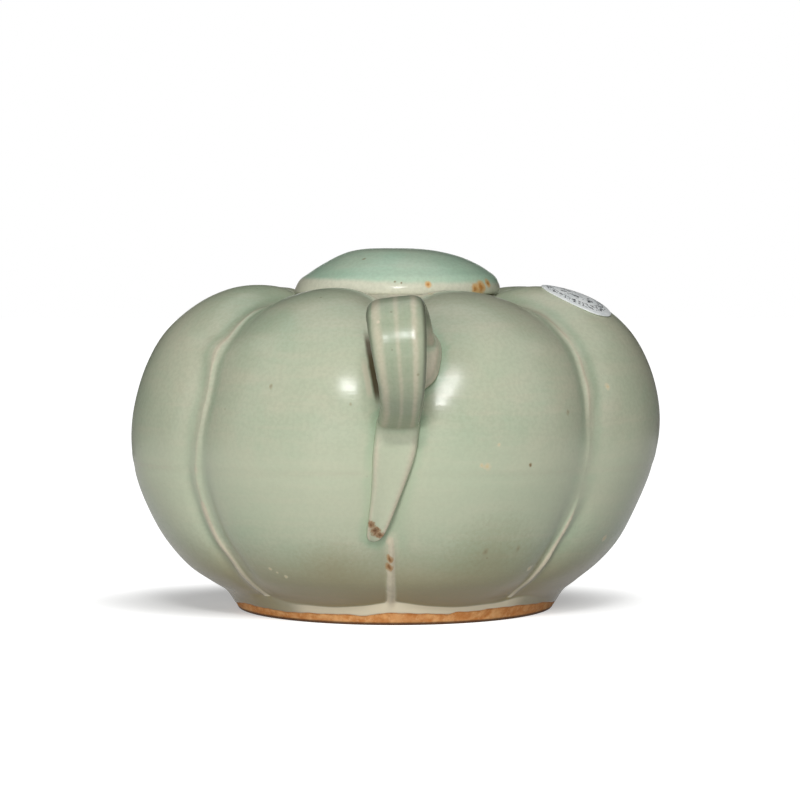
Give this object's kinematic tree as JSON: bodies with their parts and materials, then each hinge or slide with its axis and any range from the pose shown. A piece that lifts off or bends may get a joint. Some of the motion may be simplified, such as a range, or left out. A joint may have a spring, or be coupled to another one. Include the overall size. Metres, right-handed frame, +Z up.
{
  "type": "melon shaped ewer",
  "caption": "Lobed melon shaped stoneware ewer with a ribbed loop handle, a curved spout and a lift-off domed cover.",
  "frame": {"origin": "centre of the foot on the table", "axes": "+Z up along the vessel's axis, +Y towards the spout, -Y towards the handle, +X to the right when seen from the handle"},
  "size_m": [0.1577, 0.21, 0.1088],
  "materials": {
    "body_glaze": "glossy grey-green celadon glaze",
    "cover_glaze": "glossy, deeper blue-green celadon glaze",
    "thin_glaze": "thin glaze, pale over the clay",
    "bare_clay": "unglazed, fired orange-brown",
    "label_paper": "matt white paper"
  },
  "bodies": {
    "vessel": {"lower_shell": "body_glaze", "upper_shell": "body_glaze", "foot_ring": "bare_clay", "mouth_collar": "thin_glaze", "spout": "body_glaze", "handle_strap": "body_glaze", "handle_root_pad": "body_glaze", "handle_tail": "body_glaze", "paper_label": "label_paper", "groove_rib_1": "thin_glaze", "groove_rib_2": "thin_glaze", "groove_rib_3": "thin_glaze", "groove_rib_4": "thin_glaze", "groove_rib_5": "thin_glaze", "groove_rib_6": "thin_glaze", "groove_rib_7": "thin_glaze", "groove_rib_8": "thin_glaze"},
    "flange": {"cover_flange": "bare_clay"},
    "cover": {"cover_dome": "cover_glaze"}
  },
  "joints": [
    {"name": "cover_lift", "type": "slide", "parent": "vessel", "child": "flange", "axis": [0, 0, 1], "range_m": [0, 0.06]},
    {"name": "cover_turn", "type": "hinge", "parent": "flange", "child": "cover", "pos_m": [0, 0, 0.0949], "axis": [0, 0, 1], "continuous": true}
  ]
}
